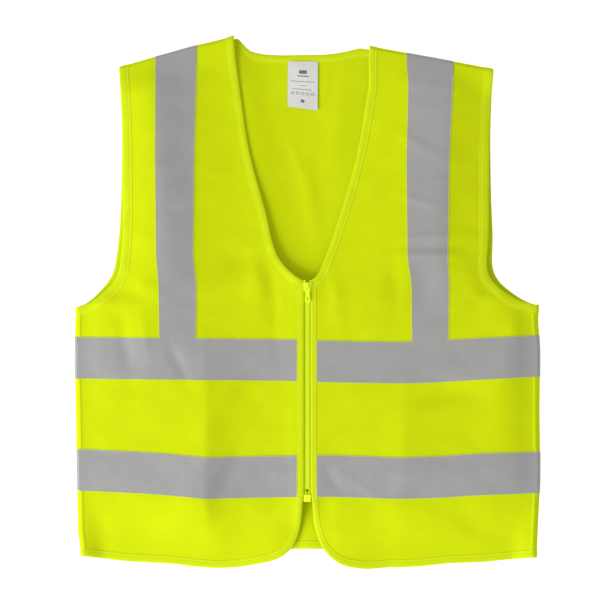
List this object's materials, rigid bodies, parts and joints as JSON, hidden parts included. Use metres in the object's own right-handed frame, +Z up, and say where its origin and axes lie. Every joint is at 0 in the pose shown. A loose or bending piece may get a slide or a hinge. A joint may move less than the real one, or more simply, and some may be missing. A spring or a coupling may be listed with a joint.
{
  "type": "high visibility vest",
  "caption": "Sleeveless zip-front safety vest laid flat, with a V neck, bound edges and reflective tape over the shoulders and round the body.",
  "frame": {"origin": "centre of the vest's footprint, on the surface that it lies on", "axes": "+Z up from the surface, +Y towards the collar, +X towards the wearer's left"},
  "size_m": [0.549, 0.6229, 0.0174],
  "materials": {
    "hi_vis_fabric": "matt knitted polyester",
    "binding_fabric": "matt woven tape",
    "reflective_tape": "retroreflective glass bead",
    "zipper_tape": "matt woven tape",
    "zipper_plastic": "moulded acetal",
    "label_fabric": "satin woven label"
  },
  "bodies": {
    "back": {"back_panel": "hi_vis_fabric", "back_neck_binding": "binding_fabric", "back_hem_binding": "binding_fabric", "back_chest_band": "reflective_tape", "back_waist_band": "reflective_tape", "right_front_side": "hi_vis_fabric", "right_side_hem_binding": "binding_fabric", "right_chest_band_side": "reflective_tape", "right_waist_band_side": "reflective_tape", "right_shoulder_tape": "reflective_tape", "right_armhole_binding": "binding_fabric", "left_front_side": "hi_vis_fabric", "left_side_hem_binding": "binding_fabric", "left_chest_band_side": "reflective_tape", "left_waist_band_side": "reflective_tape", "left_shoulder_tape": "reflective_tape", "left_armhole_binding": "binding_fabric"},
    "right_front": {"right_front_flap": "hi_vis_fabric", "right_neck_binding": "binding_fabric", "right_front_edge_binding": "binding_fabric", "right_chest_band_flap": "reflective_tape", "right_waist_band_flap": "reflective_tape", "right_zipper_tape": "zipper_tape", "right_zipper_teeth": "zipper_plastic", "right_top_stop": "zipper_plastic", "retainer_box": "zipper_plastic", "box_pin": "zipper_plastic"},
    "left_front": {"left_front_flap": "hi_vis_fabric", "left_neck_binding": "binding_fabric", "left_front_edge_binding": "binding_fabric", "left_chest_band_flap": "reflective_tape", "left_waist_band_flap": "reflective_tape", "left_zipper_tape": "zipper_tape", "left_zipper_teeth": "zipper_plastic", "left_top_stop": "zipper_plastic", "insertion_pin": "zipper_plastic"},
    "slider_body": {"slider": "zipper_plastic"},
    "pull": {"pull_tab": "zipper_plastic"},
    "label": {"care_label": "label_fabric"}
  },
  "joints": [
    {"name": "right_front_fold", "type": "hinge", "parent": "back", "child": "right_front", "pos_m": [-0.1105, 0, 0.015], "axis": [-0.0879, -0.9961, 0], "range_deg": [0, 165]},
    {"name": "left_front_fold", "type": "hinge", "parent": "back", "child": "left_front", "pos_m": [0.1105, 0, 0.015], "axis": [-0.0879, 0.9961, 0], "range_deg": [0, 165], "deforming": ["insertion_pin"]},
    {"name": "zipper_slide", "type": "slide", "parent": "right_front", "child": "slider_body", "axis": [0, -1, 0], "range_m": [0, 0.24], "deforming": ["right_zipper_tape", "left_zipper_tape", "right_zipper_teeth", "left_zipper_teeth"]},
    {"name": "pull_tab_swing", "type": "hinge", "parent": "slider_body", "child": "pull", "pos_m": [0, 0.0193, 0.0156], "axis": [-1, 0, 0], "range_deg": [0, 165]},
    {"name": "care_label_flip", "type": "hinge", "parent": "back", "child": "label", "pos_m": [-0.00525, 0.2855, 0.00115], "axis": [-1, 0, 0], "range_deg": [0, 120]}
  ]
}
